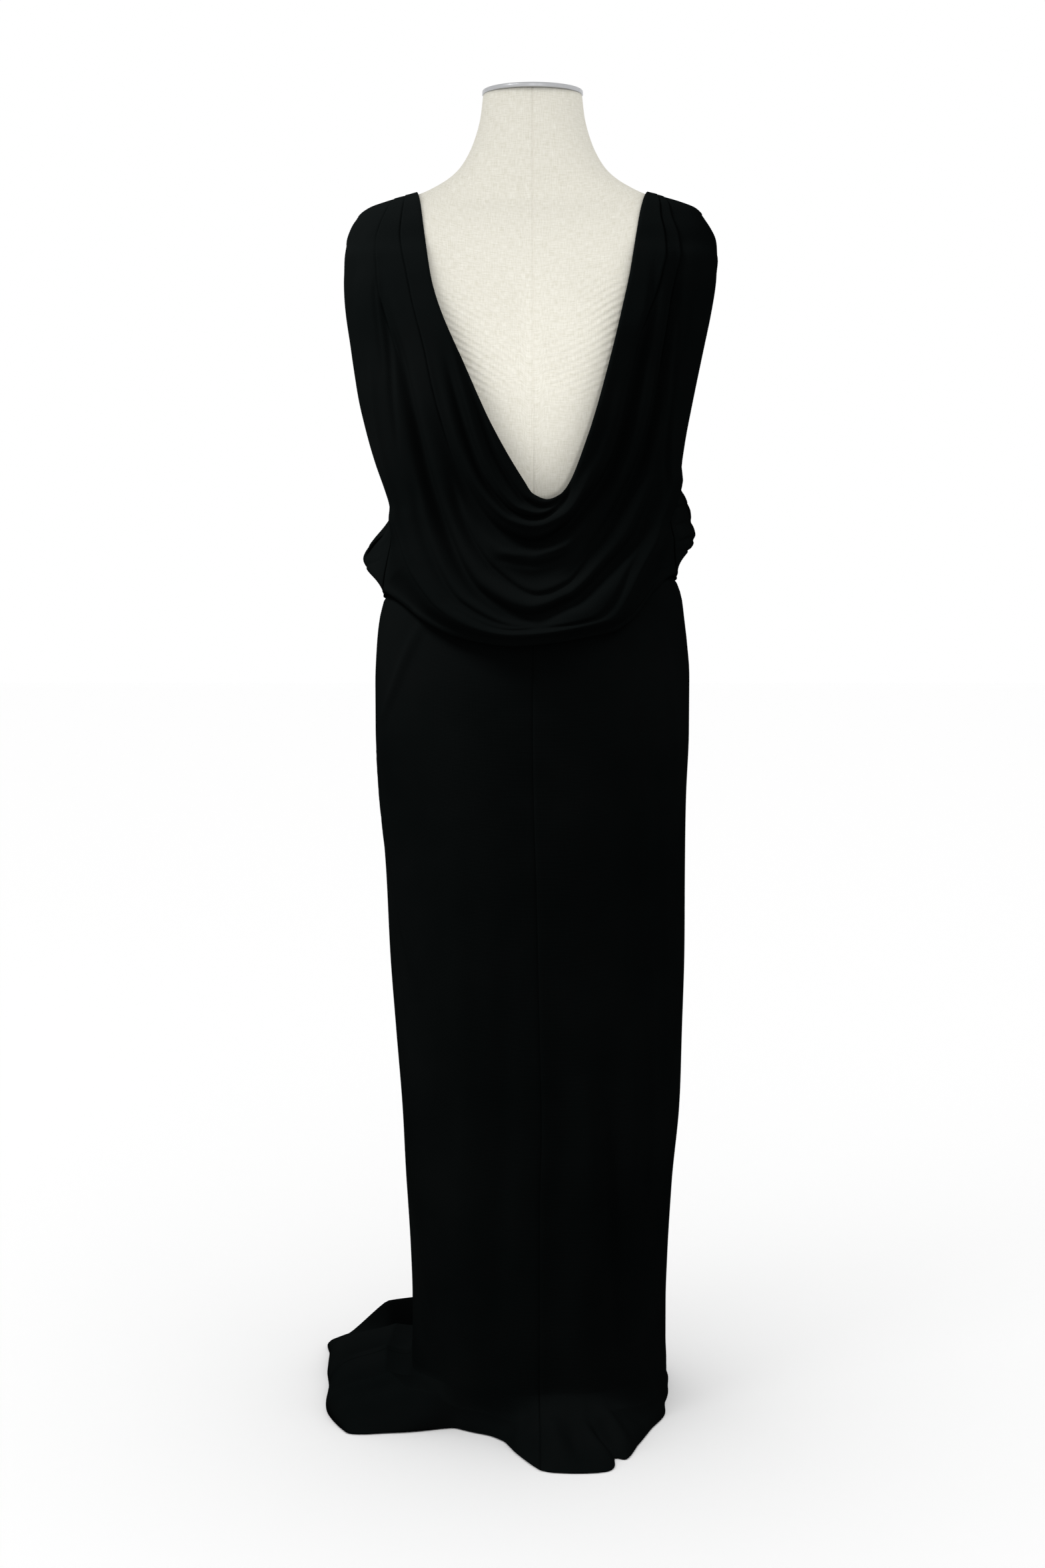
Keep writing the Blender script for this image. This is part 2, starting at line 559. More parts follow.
# The form, the form with cloth lying on it, the body that the drape follows, the skirt and the
# skirt's middle along X, and the shoulders' upper line as a height over half the width
SKIN = Body.of(FORM)
SEATED = grown(FORM, ON_FORM)
SEATED_Z = SEATED.column("z")
SMOOTH_DRAPE = Body.of(Table(FORM.names, SEATED.where(SEATED_Z > DRAPE_TOP_Z).rows + DRAPE.rows))
SKIRT_BODY = Body.of(SKIRT)
SKIRT_MIDDLE = SKIRT.curve("z", "middle")
RIDGE = SEATED.where((SEATED_Z > RIDGE_Z[0]) & (SEATED_Z < RIDGE_Z[1])).curve("half", "z")


def arc_lengths(points: np.ndarray, axis: int) -> np.ndarray:
    """How far each point of a grid is from its first row or column: the sum of the steps.

    Args:
        points: Rows and columns of points.
        axis: 0 to go down the rows, 1 to go across the columns.

    Returns:
        A length for each point.
    """
    steps = np.linalg.norm(np.diff(points, axis=axis), axis=-1)
    start = np.zeros_like(np.take(steps, [0], axis=axis))
    return np.concatenate([start, np.cumsum(steps, axis=axis)], axis=axis)


def mesh_object(name: str, points: np.ndarray, loops: np.ndarray, sizes: np.ndarray,
                uv: np.ndarray) -> bpy.types.Object:
    """Makes a smooth-shaded object from arrays.

    Args:
        name: The piece's name.
        points: Corners in millimetres.
        loops: The faces' corners, one after another.
        sizes: How many corners each face has.
        uv: A place on the cloth in metres for each of the loops.

    Returns:
        The object, linked to the scene.
    """
    used, loops = np.unique(loops, return_inverse=True)
    mesh = bpy.data.meshes.new(name)
    mesh.vertices.add(len(used))
    mesh.vertices.foreach_set("co", (points[used] * MM).astype(np.float32).ravel())
    mesh.loops.add(len(loops))
    mesh.loops.foreach_set("vertex_index", loops.astype(np.int32).ravel())
    mesh.polygons.add(len(sizes))
    starts = np.concatenate([[0], np.cumsum(sizes)[:-1]]).astype(np.int32)
    mesh.polygons.foreach_set("loop_start", starts)
    mesh.update(calc_edges=True)
    layer = mesh.uv_layers.new(name="cloth")
    layer.uv.foreach_set("vector", uv.astype(np.float32).ravel())
    mesh.shade_smooth()
    made = bpy.data.objects.new(name, mesh)
    bpy.context.scene.collection.objects.link(made)
    return made


def grid_object(name: str, points: np.ndarray, turned_over: bool,
                present: np.ndarray | None = None) -> bpy.types.Object:
    """Makes an open surface from a grid of points, with its place on the cloth as its UV map.

    Args:
        name: The piece's name.
        points: Rows and columns of points in millimetres.
        turned_over: Whether the faces point the other way than rows crossed with columns.
        present: Which cells of the grid are there.

    Returns:
        The object.
    """
    rows, columns = points.shape[:2]
    index = np.arange(rows * columns).reshape(rows, columns)
    cells = [index[:-1, :-1], index[:-1, 1:], index[1:, 1:], index[1:, :-1]]
    faces = np.stack(cells[::-1] if turned_over else cells, -1)
    faces = faces[present] if present is not None else faces.reshape(-1, 4)
    across = arc_lengths(points, 1)
    across = across - across[:, columns // 2, None]
    uv = np.stack([across, -arc_lengths(points, 0)], -1).reshape(-1, 2) * MM
    loops = faces.ravel()
    return mesh_object(name, points.reshape(-1, 3), loops, np.full(len(faces), 4), uv[loops])


def closed_loft(name: str, rings: np.ndarray) -> bpy.types.Object:
    """Makes a closed body from rings of points, with a fan of triangles at each end.

    The UV map runs round and down, and its two ends meet opposite the first column.

    Args:
        name: The piece's name.
        rings: Rings of points in millimetres, from the top down.

    Returns:
        The object.
    """
    count, sides = rings.shape[:2]
    ends = [rings[0].mean(0)[None], rings[-1].mean(0)[None]]
    points = np.concatenate([rings.reshape(-1, 3), *ends])
    index = np.arange(count * sides).reshape(count, sides)
    after = np.roll(index, -1, axis=1)
    quads = np.stack([index[:-1], index[1:], after[1:], after[:-1]], -1).reshape(-1, 4)
    top, bottom = len(points) - 2, len(points) - 1
    lid = np.stack([np.full(sides, top), index[0], after[0]], -1)
    underside = np.stack([np.full(sides, bottom), after[-1], index[-1]], -1)
    triangles = np.concatenate([lid, underside])
    loops = np.concatenate([quads.ravel(), triangles.ravel()])
    sizes = np.concatenate([np.full(len(quads), 4), np.full(len(triangles), 3)])
    wrapped = np.concatenate([rings, rings[:, :1]], axis=1)
    around = arc_lengths(wrapped, 1)
    uv_grid = np.stack([around, -arc_lengths(wrapped, 0)], -1)
    here, beside = uv_grid[:, :-1].copy(), uv_grid[:, 1:].copy()
    far_side = around[:, -1:] * (np.arange(sides) >= sides // 2)
    here[..., 0] -= far_side
    beside[..., 0] -= far_side
    quad_uv = np.stack([here[:-1], here[1:], beside[1:], beside[:-1]], 2).reshape(-1, 2)
    end_uv = points[triangles.ravel()][:, :2]
    return mesh_object(name, points, loops, sizes, np.concatenate([quad_uv, end_uv]) * MM)


def turned(name: str, profile: Sequence[tuple[float, float]], sides: int = 96) -> bpy.types.Object:
    """Makes a turned solid about the axis.

    Args:
        name: The piece's name.
        profile: Radius and height of each ring, from the top down.
        sides: How many sides the round has.

    Returns:
        The object.
    """
    angle = np.linspace(0, 2 * np.pi, sides, endpoint=False)[None, :]
    radius, z = (np.array(column)[:, None] for column in zip(*profile))
    return closed_loft(name, on_ring(angle, radius, z))


def rounded_edge(radius: float, z: float, size: float, steps: int = 5) -> list[tuple[float, float]]:
    """A quarter circle that rounds the outer upper edge of a turned solid."""
    angles = np.linspace(np.pi / 2, 0, steps)
    return [(radius - size + size * math.cos(a), z - size + size * math.sin(a)) for a in angles]


# Finishes


def linear(colour: str) -> tuple[float, float, float, float]:
    """The linear colour of an sRGB hex value, by the sRGB formula.

    Args:
        colour: Six hex digits after a #.

    Returns:
        Red, green, blue and a full alpha.
    """
    shares = (int(colour[i:i + 2], 16) / 255 for i in (1, 3, 5))
    red, green, blue = (s / 12.92 if s <= 0.04045 else ((s + 0.055) / 1.055) ** 2.4 for s in shares)
    return red, green, blue, 1.0


def connect(tree: bpy.types.NodeTree, node: bpy.types.Node, **inputs: Any) -> None:
    """Gives a node's sockets their values or links.

    Args:
        tree: The node tree that the node is in.
        node: The node.
        inputs: Socket values or linked sockets, by socket name with _ for a space, or by _ and
            the socket's number.
    """
    for name, value in inputs.items():
        number = name[1:]
        socket = node.inputs[int(number) if number.isdigit() else name.replace("_", " ")]
        if isinstance(value, bpy.types.NodeSocket):
            tree.links.new(value, socket)
        else:
            socket.default_value = value


def add_node(tree: bpy.types.NodeTree, kind: str, settings: dict[str, Any] | None = None,
             **inputs: Any) -> bpy.types.Node:
    """Adds a node.

    Args:
        tree: The material's node tree.
        kind: The node's type.
        settings: Properties of the node. One that is called stops is a colour ramp's places,
            each with a hex colour.
        inputs: Socket values or linked sockets, named as connect takes them.

    Returns:
        The node.
    """
    node = tree.nodes.new(kind)
    for name, value in (settings or {}).items():
        if name == "stops":
            elements = node.color_ramp.elements
            while len(elements) < len(value):
                elements.new(0.5)
            for element, (place, colour) in zip(elements, value):
                element.position = place
                element.color = linear(colour)
        else:
            setattr(node, name, value)
    connect(tree, node, **inputs)
    return node


def new_material(name: str) -> tuple[bpy.types.Material, bpy.types.NodeTree, bpy.types.Node]:
    """Makes a material.

    Args:
        name: The material's name.

    Returns:
        The material, its node tree and its principled shader.
    """
    material = bpy.data.materials.new(name)
    material.use_nodes = True
    tree = material.node_tree
    return material, tree, tree.nodes["Principled BSDF"]


@dataclass(frozen=True)
class KnittedJersey:
    """Viscose jersey, knitted and dyed black: matt, with soft light along the folds."""

    dark: str = "#030404"
    worn: str = "#050606"
    cloud_scale: float = 7.0
    roughness: float = 0.75
    roughness_spread: float = 0.06
    wale_mm: float = 1.6
    knit_depth_m: float = 0.0003
    knit_strength: float = 0.25

    def make(self) -> bpy.types.Material:
        """Makes the material, with wales about twice as wide as real ones, to show at all.

        Returns:
            The material.
        """
        material, tree, shader = new_material("black_viscose_jersey")
        uv = add_node(tree, "ShaderNodeTexCoord").outputs["UV"]
        place = add_node(tree, "ShaderNodeTexCoord").outputs["Object"]
        cloudy = add_node(
            tree, "ShaderNodeTexNoise", Vector=place, Scale=self.cloud_scale, Detail=3.0,
        )
        colour = add_node(
            tree, "ShaderNodeValToRGB", {"stops": ((0.3, self.dark), (0.7, self.worn))},
            Fac=cloudy.outputs["Fac"],
        )
        turns = 2 * math.pi / (self.wale_mm * MM)
        wales, courses = (
            add_node(
                tree, "ShaderNodeTexWave", {"wave_type": "BANDS", "bands_direction": axis},
                Vector=uv, Scale=turns / WAVE_SPEED, Distortion=waver, Detail=1.0,
            )
            for axis, waver in (("X", 0.4), ("Y", 0.8))
        )
        knit = add_node(
            tree, "ShaderNodeMath", {"operation": "MULTIPLY"},
            _0=wales.outputs["Fac"], _1=courses.outputs["Fac"],
        )
        rough = add_node(
            tree, "ShaderNodeMapRange", Value=cloudy.outputs["Fac"],
            To_Min=self.roughness - self.roughness_spread,
            To_Max=self.roughness + self.roughness_spread,
        )
        bump = add_node(
            tree, "ShaderNodeBump", Height=knit.outputs["Value"],
            Strength=self.knit_strength, Distance=self.knit_depth_m,
        )
        connect(
            tree, shader, Base_Color=colour.outputs["Color"], Roughness=rough.outputs["Result"],
            Normal=bump.outputs["Normal"], Specular_IOR_Level=0.0,
        )
        return material


@dataclass(frozen=True)
class WovenLinen:
    """Unbleached linen, plain woven and stretched over padding: cream, matt and slightly slubby."""

    cream: str = "#D1CEC3"
    light: str = "#DCDAD0"
    shade: str = "#C4C1B2"
    thread_mm: float = 1.1
    slub: float = 0.12
    roughness: float = 0.9
    weave_depth_m: float = 0.0005
    weave_strength: float = 0.35

    def make(self) -> bpy.types.Material:
        """Makes the material, with threads about twice as coarse as real ones, to show at all.

        Returns:
            The material.
        """
        material, tree, shader = new_material("cream_woven_linen")
        uv = add_node(tree, "ShaderNodeTexCoord").outputs["UV"]
        scale = 1 / (self.thread_mm * MM)
        warp, weft = (
            add_node(
                tree, "ShaderNodeTexNoise", Scale=1.0, Detail=2.0,
                Vector=add_node(tree, "ShaderNodeMapping", Vector=uv, Scale=run).outputs["Vector"],
            )
            for run in ((scale, scale * self.slub, 1.0), (scale * self.slub, scale, 1.0))
        )
        weave = add_node(
            tree, "ShaderNodeMath", {"operation": "ADD"},
            _0=warp.outputs["Fac"], _1=weft.outputs["Fac"],
        )
        even = add_node(
            tree, "ShaderNodeMath", {"operation": "MULTIPLY"}, _0=weave.outputs["Value"], _1=0.5,
        )
        colour = add_node(
            tree, "ShaderNodeValToRGB",
            {"stops": ((0.3, self.shade), (0.5, self.cream), (0.7, self.light))},
            Fac=even.outputs["Value"],
        )
        bump = add_node(
            tree, "ShaderNodeBump", Height=even.outputs["Value"],
            Strength=self.weave_strength, Distance=self.weave_depth_m,
        )
        connect(
            tree, shader, Base_Color=colour.outputs["Color"], Normal=bump.outputs["Normal"],
            Roughness=self.roughness, Specular_IOR_Level=0.25,
        )
        return material


@dataclass(frozen=True)
class SatinSteel:
    """Stainless steel, turned and brushed: a soft grey with rings of fine lines."""

    colour: str = "#B4B5B7"
    ring_scale: float = 160.0
    roughness: tuple[float, float] = (0.28, 0.42)

    def make(self) -> bpy.types.Material:
        """Makes the material.

        Returns:
            The material.
        """
        material, tree, shader = new_material("satin_stainless_steel")
        place = add_node(tree, "ShaderNodeTexCoord").outputs["Object"]
        rings = add_node(
            tree, "ShaderNodeTexWave",
            {"wave_type": "RINGS", "rings_direction": "Z", "wave_profile": "SAW"},
            Vector=place, Scale=self.ring_scale, Distortion=1.2, Detail=3.0,
        )
        smooth, rough = self.roughness
        brushed = add_node(
            tree, "ShaderNodeMapRange", Value=rings.outputs["Fac"], To_Min=smooth, To_Max=rough,
        )
        connect(
            tree, shader, Base_Color=linear(self.colour), Metallic=1.0,
            Roughness=brushed.outputs["Result"],
        )
        return material


@dataclass(frozen=True)
class PowderCoat:
    """Steel with a baked black powder coat: satin, with a faint orange-peel surface."""

    dark: str = "#17181A"
    light: str = "#212225"
    peel_scale: float = 900.0
    patch_scale: float = 30.0
    roughness: float = 0.45

    def make(self) -> bpy.types.Material:
        """Makes the material.

        Returns:
            The material.
        """
        material, tree, shader = new_material("black_powder_coat")
        place = add_node(tree, "ShaderNodeTexCoord").outputs["Object"]
        peel, patchy = (
            add_node(tree, "ShaderNodeTexNoise", Vector=place, Scale=scale, Detail=detail)
            for scale, detail in ((self.peel_scale, 2.0), (self.patch_scale, 4.0))
        )
        colour = add_node(
            tree, "ShaderNodeValToRGB", {"stops": ((0.35, self.dark), (0.65, self.light))},
            Fac=patchy.outputs["Fac"],
        )
        bump = add_node(
            tree, "ShaderNodeBump", Height=peel.outputs["Fac"], Strength=0.3, Distance=0.0002,
        )
        connect(
            tree, shader, Base_Color=colour.outputs["Color"], Normal=bump.outputs["Normal"],
            Roughness=self.roughness,
        )
        return material


@dataclass(frozen=True)
class StudioPaper:
    """Pale paper roll: plain, matt and nearly white."""

    colour: str = "#FEFEFE"
    fibre_scale: float = 260.0
    roughness: float = 0.95

    def make(self) -> bpy.types.Material:
        """Makes the material.

        Returns:
            The material.
        """
        material, tree, shader = new_material("pale_studio_paper")
        place = add_node(tree, "ShaderNodeTexCoord").outputs["Object"]
        fibre = add_node(
            tree, "ShaderNodeTexNoise", Vector=place, Scale=self.fibre_scale, Detail=3.0,
        )
        bump = add_node(
            tree, "ShaderNodeBump", Height=fibre.outputs["Fac"], Strength=0.05, Distance=0.0004,
        )
        connect(
            tree, shader, Base_Color=linear(self.colour), Normal=bump.outputs["Normal"],
            Roughness=self.roughness, Specular_IOR_Level=0.1,
        )
        return material


def seat(piece: bpy.types.Object, material: bpy.types.Material, slot: str, *nodes: str) -> None:
    """Dresses a piece, fixes it to the part's one body and lets it stand for its solids.

    Args:
        piece: The piece.
        material: Its finish.
        slot: The material slot that it fills.
        nodes: The solids that it stands for.
    """
    piece.data.materials.append(material)
    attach(piece, "root")
    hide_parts(*nodes)
    LOG.info("%s: %d faces", piece.name, len(piece.data.polygons))


def thicken(piece: bpy.types.Object) -> None:
    """Gives a single layer of cloth its thickness, half on each side.

    Args:
        piece: The layer of cloth.
    """
    solidify = piece.modifiers.new("cloth", "SOLIDIFY")
    solidify.thickness = JERSEY_THICKNESS * MM
    solidify.offset = 0.0
    solidify.use_rim = True


# The dress form


@dataclass
class DressForm:
    """A limbless form: a padded torso under linen, a cap, a pole and a round base.

    The torso has columns at fine steps of a degree up to rippled_side from its back's middle
    and at plain steps past that, more of them beside each seam, and more rows where it is
    rippled, counted in rows of the form's table.
    """

    row_steps: int = 5
    rippled_side: float = 62.0
    fine_step: float = 0.9
    plain_step: float = 3.2
    seams: tuple[int, ...] = (0, 90, 180, 270)
    beside_seam: tuple[float, ...] = (-1.6, -1.0, -0.6, -0.3, 0.3, 0.6, 1.0, 1.6)
    seam_depth: float = 1.0
    seam_width: float = 1.3
    rippled_rows: tuple[float, float] = (11.5, 18.6)
    rippled_row_count: int = 150
    ripple_depth: float = 0.8
    ripple_pitch: float = 7.6
    left_slope: float = 0.68
    right_slope: float = 0.46
    right_share: float = 1.15
    patch_z: float = 1208.0
    patch_half_height: float = 72.0
    patch_start: tuple[float, float] = (2.0, 14.0)
    patch_end: tuple[float, float] = (80.0, 122.0)
    wander: tuple[float, float] = (2.0, 2.5)
    wander_lengths: tuple[float, float, float] = (21.0, 31.0, 47.0)
    uneven_share: float = 0.25
    uneven_lengths: tuple[float, float] = (17.0, 23.0)
    sides_meet: float = 5.0
    small_round: float = 0.6
    cap_round: float = 1.5
    boss_round: float = 2.0
    base_round: float = 2.5
    fillet: float = 1.0
    cone_top: float = 6.0
    cone_foot: float = 3.0
    cone_inset: float = 8.0
    pole_sides: int = 64

    def torso(self) -> bpy.types.Object:
        """The torso: smooth sections in index space, a groove at each seam, faint ripples.

        Returns:
            The torso, undressed.
        """
        index = np.arange(len(FORM.rows))
        even_rows = np.linspace(0, index[-1], index[-1] * self.row_steps + 1)
        more_rows = np.linspace(*self.rippled_rows, self.rippled_row_count)
        rows = np.unique(np.concatenate([even_rows, more_rows]))
        z, half, back, front = (
            Curve.through(index, FORM.column(name))(rows)[:, None]
            for name in ("z", "half", "back", "front")
        )
        fine = np.arange(-self.rippled_side, self.rippled_side, self.fine_step) % 360
        plain = np.arange(self.rippled_side, 360 - self.rippled_side, self.plain_step)
        extra = np.add.outer(self.seams, self.beside_seam).ravel() % 360
        degrees = np.unique(np.round(np.concatenate([fine, plain, extra]), 6))[None, :]
        angle = np.radians(degrees)
        reach = reach_of(angle, half, np.where(np.cos(angle) > 0, back, front))
        points = on_ring(angle, reach, z)
        from_seam = np.abs((degrees + 45) % 90 - 45) * np.pi / 180 * reach
        relief = self.ripples(points) - self.seam_depth * hump(from_seam, self.seam_width)
        outwards = on_ring(angle, np.ones_like(reach), np.zeros_like(reach))
        return closed_loft("form_torso_cover", points + outwards * relief[..., None])

    def ripples(self, points: np.ndarray) -> np.ndarray:
        """Faint waves in the linen between the shoulder blades, rising away from the seam.

        They are a sine across lines that rise on each side, that wander a little and that fade
        out towards the edges of a patch, where slow sines make them uneven.

        Args:
            points: The torso's points.

        Returns:
            How far the linen stands out at each point.
        """
        x, y, z = (points[..., k] for k in range(3))
        slope = np.where(x < 0, self.left_slope, self.right_slope)
        first, second, third = self.wander_lengths
        rising = z - slope * np.abs(x) + self.wander[0] * np.sin(x / first)
        rising = rising + self.wander[1] * np.sin(z / second + x / third)
        waves = np.sin(2 * np.pi * rising / self.ripple_pitch)
        patch = hump(z - self.patch_z, self.patch_half_height, 4)
        patch = patch * smoothstep(np.abs(x), *self.patch_start) * (y < 0)
        patch = patch * (1 - smoothstep(np.abs(x), *self.patch_end))
        uneven = np.sin(x / self.uneven_lengths[0] + z / self.uneven_lengths[1])
        patch = patch * (1 - self.uneven_share + self.uneven_share * uneven)
        right_depth = self.ripple_depth * self.right_share
        depth = mix(self.ripple_depth, right_depth, smoothstep(x, -self.sides_meet, self.sides_meet))
        return depth * waves * patch

    def build(self) -> bpy.types.Object:
        """Makes and dresses the form's four pieces.

        The base rises from its edge in a shallow cone, with a small fillet up to the boss.

        Returns:
            The torso.
        """
        torso = self.torso()
        seat(torso, WovenLinen().make(), "form_linen", "form_torso")
        low = NECK_TOP_Z + TOUCH_GAP
        cap = turned("form_cap_disc", [
            *rounded_edge(CAP_RADIUS, low + CAP_HEIGHT, self.cap_round),
            (CAP_RADIUS, low + self.small_round), (CAP_RADIUS - self.small_round, low),
        ])
        seat(cap, SatinSteel().make(), "cap_metal", "form_neck_cap")
        coat = PowderCoat().make()
        pole = turned("form_stand_pole", [
            (POLE_RADIUS, FORM_BOTTOM_Z - TOUCH_GAP), (POLE_RADIUS, BOSS_TOP_Z + TOUCH_GAP),
        ], self.pole_sides)
        seat(pole, coat, "stand_metal", "form_pole")
        base = turned("form_stand_base", [
            *rounded_edge(BOSS_RADIUS, BOSS_TOP_Z, self.boss_round),
            (BOSS_RADIUS, BASE_EDGE + self.cone_top + self.fillet),
            (BOSS_RADIUS + self.fillet, BASE_EDGE + self.cone_top),
            (BASE_RADIUS - self.cone_inset, BASE_EDGE + self.cone_foot),
            *rounded_edge(BASE_RADIUS, BASE_EDGE, self.base_round)[1:],
            (BASE_RADIUS, self.small_round), (BASE_RADIUS - self.small_round, 0),
        ])
        seat(base, coat, "stand_metal", "form_base")
        return torso


# The dress


def fading(share: np.ndarray, at_start: bool = True, at_end: bool = True) -> np.ndarray:
    """A factor that rises from 0 before the start of a run and falls to 0 past its end.

    Args:
        share: Shares of the way along the run.
        at_start: Whether it rises softly.
        at_end: Whether it falls softly.

    Returns:
        The factor, from 0 to 1.
    """
    rise = smoothstep(share, *RUN_RISES) if at_start else np.where(share < 0, 0.0, 1.0)
    fall = 1 - smoothstep(share, *RUN_FALLS) if at_end else np.where(share > 1, 0.0, 1.0)
    return rise * fall


def fitted(points: np.ndarray) -> np.ndarray:
    """Draws the cloth up at both sides of the waist, and takes its sides in or lets them out.

    Args:
        points: Points of the cloth.

    Returns:
        The points, higher by a hump about the waist and nearer to the middle by the table.
    """
    x, z = points[..., 0], points[..., 2]
    rise = RISE_RIGHT * smoothstep(x, *RISE_FROM) + RISE_LEFT * smoothstep(-x, *RISE_FROM)
    z = z + rise * hump(z - RISE_Z, np.where(z > RISE_Z, RISE_ABOVE, RISE_BELOW))
    left = TAKEN_IN.curve("z", "left")(z) * smoothstep(-x, *TAKEN_IN_FROM)
    right = TAKEN_IN.curve("z", "right")(z) * smoothstep(x, *TAKEN_IN_FROM)
    return np.stack([x + left - right, points[..., 1], z], -1)


def from_shoulder(stations: np.ndarray) -> np.ndarray:
    """How far stations are from the nearer shoulder seam."""
    return np.minimum(stations, LAST_STATION - stations)


@dataclass(frozen=True)
class ClothGrid:
    """A panel's columns by station and rows by place, and how far each point is from the neck."""

    stations: np.ndarray
    places: np.ndarray
    arc: np.ndarray


@dataclass
class BodicePanel:
    """A bodice panel draped between the two shoulder seams.

    row_counts is how many rows lie between one long line and the next. The pairs of numbers
    named for what they start or end are the stations from a shoulder, or the places, between
    which it grows or fades.
    """

    name: str
    node: str
    facing: Facing
    lines: Table
    folds: Table
    pleats: Table
    swell: float
    flat: tuple[float, float]
    area: float
    row_counts: tuple[int, ...] = (42, 54, 34, 26)
    shoulder_columns: int = 73
    side_columns: int = 21
    low_columns: int = 97
    shoulder_crowding: float = 1.3
    edge_curl: float = 1.1
    edge_width: float = 2.2
    curl_starts: tuple[float, float] = (0, 0.3)
    curl_ends: tuple[float, float] = (4, 4.3)
    pleats_start: tuple[float, float] = (0, 0.12)
    pleat_edge: float = 0.6
    pleat_lip: float = 18.0
    groove_depth: float = 1.6
    groove_place: float = 1.0
    groove_width: float = 1.1
    seam_ends: tuple[float, float] = (0, 0.6)
    swell_starts: tuple[float, float] = (0.2, 2.5)
    tuck_places: tuple[float, float] = (3, 4)
    folds_end: tuple[float, float] = (3.7, 3.97)
    flank_starts: tuple[float, float] = (3.0, 3.4)
    flank_ends: tuple[float, float] = (4.3, 4.6)
    roll_rows: int = 7
    climb_rows: int = 12
    x_of: list[Callable] = field(default_factory=list)
    z_of: list[Callable] = field(default_factory=list)

    def __post_init__(self) -> None:
        """Fits the panel's long lines, with the shoulder seam laid on the shoulders' ridge."""
        names = self.lines.names.split()
        rows = []
        for row in self.lines.rows:
            row = list(row)
            if row[0] in (0, LAST_STATION):
                for line in LINE_NAMES:
                    row[names.index(f"{line}Z")] = float(RIDGE(abs(row[names.index(f"{line}X")])))
            rows.append(tuple(row))
        self.lines = Table(self.lines.names, tuple(rows))
        self.x_of = [self.line_curve(f"{line}X") for line in LINE_NAMES]
        self.z_of = [self.line_curve(f"{line}Z", (0, LAST_STATION)) for line in LINE_NAMES]

    def line_curve(self, name: str, level: tuple = ()) -> Callable:
        """A line's smooth curve; the edge's has corners at both ends of the side seams.

        Args:
            name: A column of the table of lines.
            level: Stations where the line is level.

        Returns:
            A function from stations to the column's values.
        """
        if not name.startswith("edge"):
            return self.lines.curve("station", name, level)
        station = self.lines.column("station")
        half = (0, SIDE_TOP, SIDE_FOOT)
        corners = half + tuple(LAST_STATION - corner for corner in reversed(half))
        runs = [
            self.lines.where((station >= low) & (station <= high)).curve("station", name, level)
            for low, high in zip(corners, corners[1:])
        ]
        return lambda at: np.select([at <= high for high in corners[1:]], [run(at) for run in runs])

    def stations(self) -> np.ndarray:
        """Where the columns stand, closer together near the shoulders.

        Returns:
            Stations from one shoulder seam to the other.
        """
        crowded = np.linspace(0, 1, self.shoulder_columns) ** self.shoulder_crowding
        side = np.linspace(SIDE_TOP, SIDE_FOOT, self.side_columns)
        low = np.linspace(SIDE_FOOT, LAST_STATION - SIDE_FOOT, self.low_columns)
        half = np.concatenate([SIDE_TOP * crowded, side])
        return np.unique(np.round(np.concatenate([half, low, LAST_STATION - half]), 9))

    def across(self, curves: list[Callable], stations: np.ndarray, places: np.ndarray) -> np.ndarray:
        """Smooth values between the long lines, at every place of every station."""
        lines = np.stack([curve(stations) for curve in curves])
        return Curve.through(range(len(LINE_NAMES)), lines)(places)

    def places(self) -> np.ndarray:
        """Where the rows stand between the lines, closer together where the folds are fine."""
        runs = [k + np.arange(count) / count for k, count in enumerate(self.row_counts)]
        return np.concatenate(runs + [np.array([float(len(self.row_counts))])])

    def past_line(self, row: dict[str, float], grid: ClothGrid) -> tuple[np.ndarray, np.ndarray]:
        """Measures the cloth from a fold's line, which is a curve through its six places.

        Args:
            row: The fold.
            grid: The panel's grid.

        Returns:
            How far each point lies past the line, and each station's share of the way along it.
        """
        share = (grid.stations - row["start"]) / (row["end"] - row["start"])
        line = Curve.through(np.linspace(0, 1, 6), [row[f"p{k}"] for k in range(6)])
        rows, columns = np.arange(len(grid.places)), np.arange(len(grid.stations))
        at = np.interp(line(np.clip(share, 0, 1)), grid.places, rows)
        low = np.minimum(at.astype(int), rows[-2])
        on_line = mix(grid.arc[low, columns], grid.arc[low + 1, columns], at - low)
        return grid.arc - on_line, share

    def fold_relief(self, grid: ClothGrid) -> np.ndarray:
        """The troughs and ridges: a bell across each one's line, with its depth along it.

        Args:
            grid: The panel's grid.

        Returns:
            How far each point moves outwards.
        """
        total = np.zeros_like(grid.arc)
        for row in self.folds.records():
            away, share = self.past_line(row, grid)
            depths = Curve.through((0, 0.5, 1), [row[f"deep{k}"] for k in range(3)])
            depth = depths(np.clip(share, 0, 1)) * fading(share)
            total -= depth * bell(away, row["above"], row["below"])
        return total

    def pleat_relief(self, grid: ClothGrid) -> np.ndarray:
        """The shoulder pleats: a lip on the neck's side of each line and a groove past it.

        The lip is a soft step, a hyperbolic tangent, that fades towards the neck.

        Args:
            grid: The panel's grid.

        Returns:
            How far each point moves outwards.
        """
        total = np.zeros_like(grid.arc)
        for row in self.pleats.records():
            away, share = self.past_line(row, grid)
            step = 0.5 * (1 - np.tanh(away / self.pleat_edge))
            lip = step * np.exp(np.minimum(away, 0) / self.pleat_lip)
            groove = self.groove_depth * hump(away - self.groove_place, self.groove_width)
            run = fading(share, row["start"] > 0, row["end"] < LAST_STATION)
            total += (row["step"] * lip - groove) * run
        return total * smoothstep(from_shoulder(grid.stations), *self.pleats_start)

